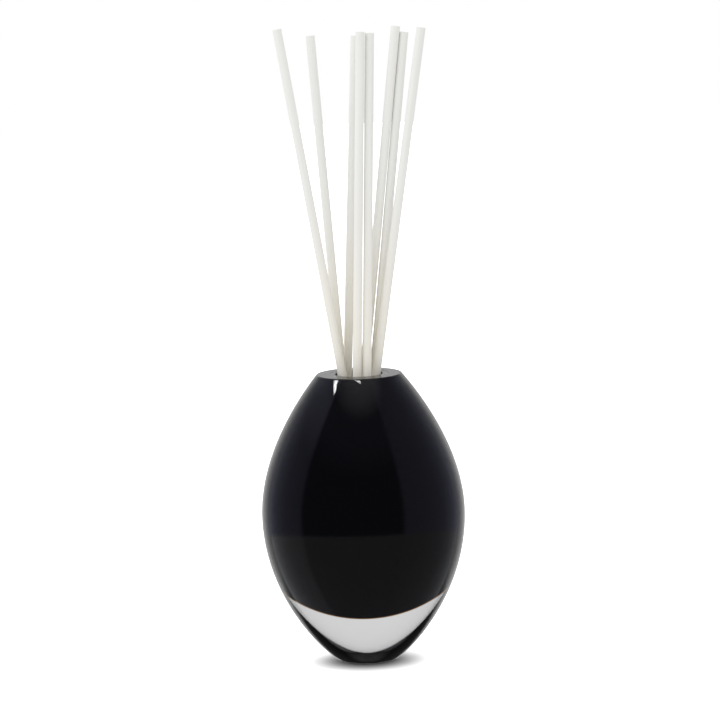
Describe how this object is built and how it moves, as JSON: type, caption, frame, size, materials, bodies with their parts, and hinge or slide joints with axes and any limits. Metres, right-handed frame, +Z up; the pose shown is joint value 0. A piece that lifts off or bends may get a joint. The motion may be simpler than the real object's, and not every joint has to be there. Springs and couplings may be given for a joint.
{
  "type": "reed diffuser",
  "caption": "Egg-shaped black glass vessel cased in clear glass with a thick clear foot, holding fragrance oil and loose fibre reeds that lean out of its mouth.",
  "frame": {"origin": "centre of the flat ground base, on the surface that the vessel stands on", "axes": "+Z up along the vessel's own axis; -Y is the front, the side that reeds 4 and 5 stand nearest to; +X to the right seen from the front"},
  "size_m": [0.0908, 0.0908, 0.2825],
  "materials": {
    "clear_glass": "clear, fire polished, with a ground and polished rim",
    "black_glass": "opaque black glass, seen glossy through the clear casing",
    "oil": "clear amber fragrance oil",
    "reed_fibre": "matt off-white fibre with fine lengthwise streaks"
  },
  "bodies": {
    "vessel": {"clear_casing": "clear_glass", "black_cup": "black_glass", "fragrance_oil": "oil"},
    "reed_1": {"reed_1": "reed_fibre"},
    "reed_2": {"reed_2": "reed_fibre"},
    "reed_3": {"reed_3": "reed_fibre"},
    "reed_4": {"reed_4": "reed_fibre"},
    "reed_5": {"reed_5": "reed_fibre"},
    "reed_6": {"reed_6": "reed_fibre"},
    "reed_7": {"reed_7": "reed_fibre"},
    "reed_8": {"reed_8": "reed_fibre"}
  },
  "joints": [
    {"name": "reed_1_pull", "type": "slide", "parent": "vessel", "child": "reed_1", "axis": [-0.1541, 0.0861, 0.9843], "range_m": [0, 0.105]},
    {"name": "reed_2_pull", "type": "slide", "parent": "vessel", "child": "reed_2", "axis": [-0.0605, 0.1293, 0.9898], "range_m": [0, 0.105]},
    {"name": "reed_3_pull", "type": "slide", "parent": "vessel", "child": "reed_3", "axis": [0.0555, 0.1148, 0.9918], "range_m": [0, 0.105]},
    {"name": "reed_4_pull", "type": "slide", "parent": "vessel", "child": "reed_4", "axis": [0.0417, 0.0793, 0.996], "range_m": [0, 0.105]},
    {"name": "reed_5_pull", "type": "slide", "parent": "vessel", "child": "reed_5", "axis": [0.04, 0.0914, 0.995], "range_m": [0, 0.105]},
    {"name": "reed_6_pull", "type": "slide", "parent": "vessel", "child": "reed_6", "axis": [0.1219, 0.0083, 0.9925], "range_m": [0, 0.105]},
    {"name": "reed_7_pull", "type": "slide", "parent": "vessel", "child": "reed_7", "axis": [0.1184, 0.0173, 0.9928], "range_m": [0, 0.105]},
    {"name": "reed_8_pull", "type": "slide", "parent": "vessel", "child": "reed_8", "axis": [0.1599, 0.0078, 0.9871], "range_m": [0, 0.105]}
  ]
}
